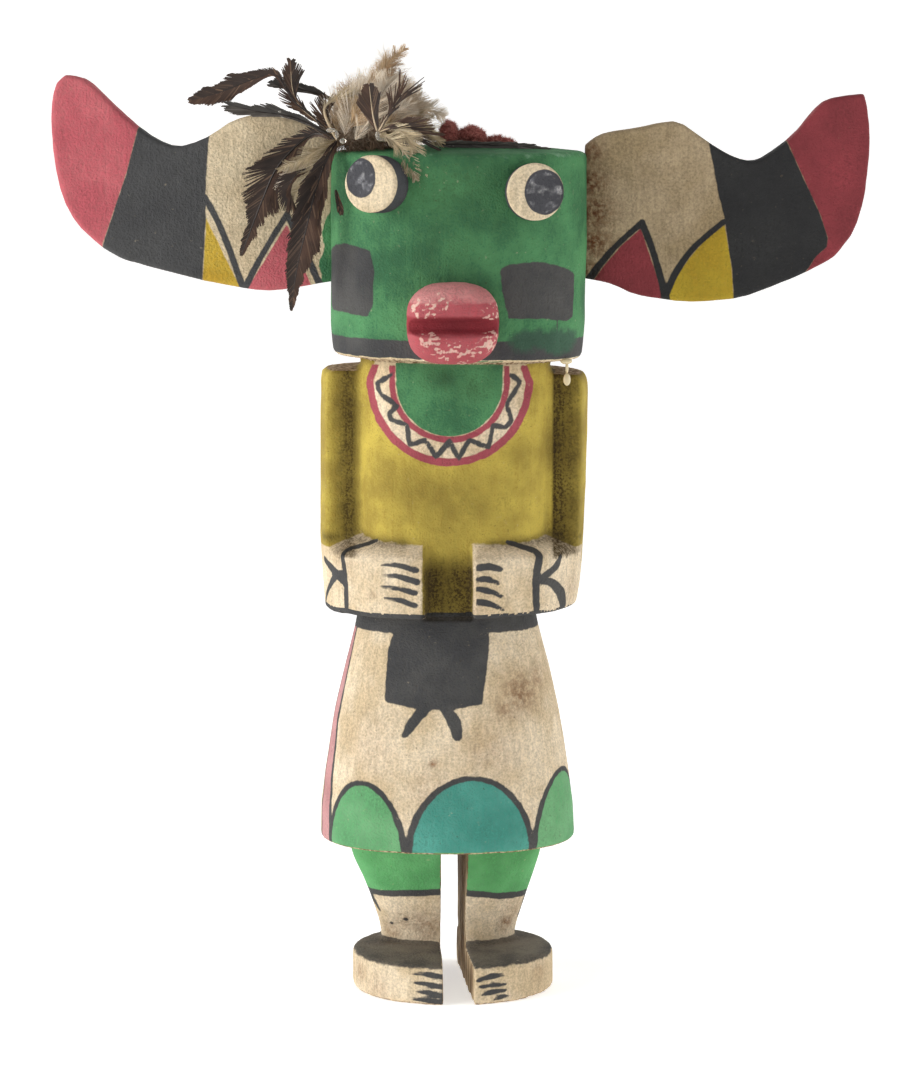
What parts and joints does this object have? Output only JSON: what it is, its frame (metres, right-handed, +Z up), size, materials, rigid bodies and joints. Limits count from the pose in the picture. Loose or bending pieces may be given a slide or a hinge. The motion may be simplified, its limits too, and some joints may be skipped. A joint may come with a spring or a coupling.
{
  "type": "kachina doll",
  "caption": "Standing carved and painted wooden doll with broad board horns, dowel eyes, a barrel snout and a bunch of feathers on the crown.",
  "frame": {"origin": "on the ground under the middle of the whole doll's bounding box", "axes": "+Z up the doll's height, +X to the viewer's right when facing its front, along the spread of the horns; the doll faces -Y, so +Y runs from its front to its back"},
  "size_m": [0.2194, 0.0704, 0.256],
  "materials": {
    "painted_root": "mineral paint over white ground, worn matte",
    "painted_board": "mineral paint over white ground, worn matte",
    "painted_dowel": "cream ground with black paint, matte",
    "painted_snout": "worn matte paint",
    "down": "matted down",
    "feather": "matte vane",
    "dyed_trim": "faded dye, matte"
  },
  "bodies": {
    "root": {"carved_figure": "painted_root", "horn_left": "painted_board", "horn_right": "painted_board", "eye_left": "painted_dowel", "eye_right": "painted_dowel", "snout": "painted_snout", "down_tuft": "down", "feather_swept": "feather", "feather_upright": "feather", "feather_level": "feather", "feather_thin": "feather", "feather_slanting": "feather", "feather_small": "feather", "feather_hanging": "feather", "feather_front": "feather", "red_knot": "dyed_trim", "red_strip_broad": "dyed_trim", "red_strip_tapered": "dyed_trim"}
  },
  "joints": []
}
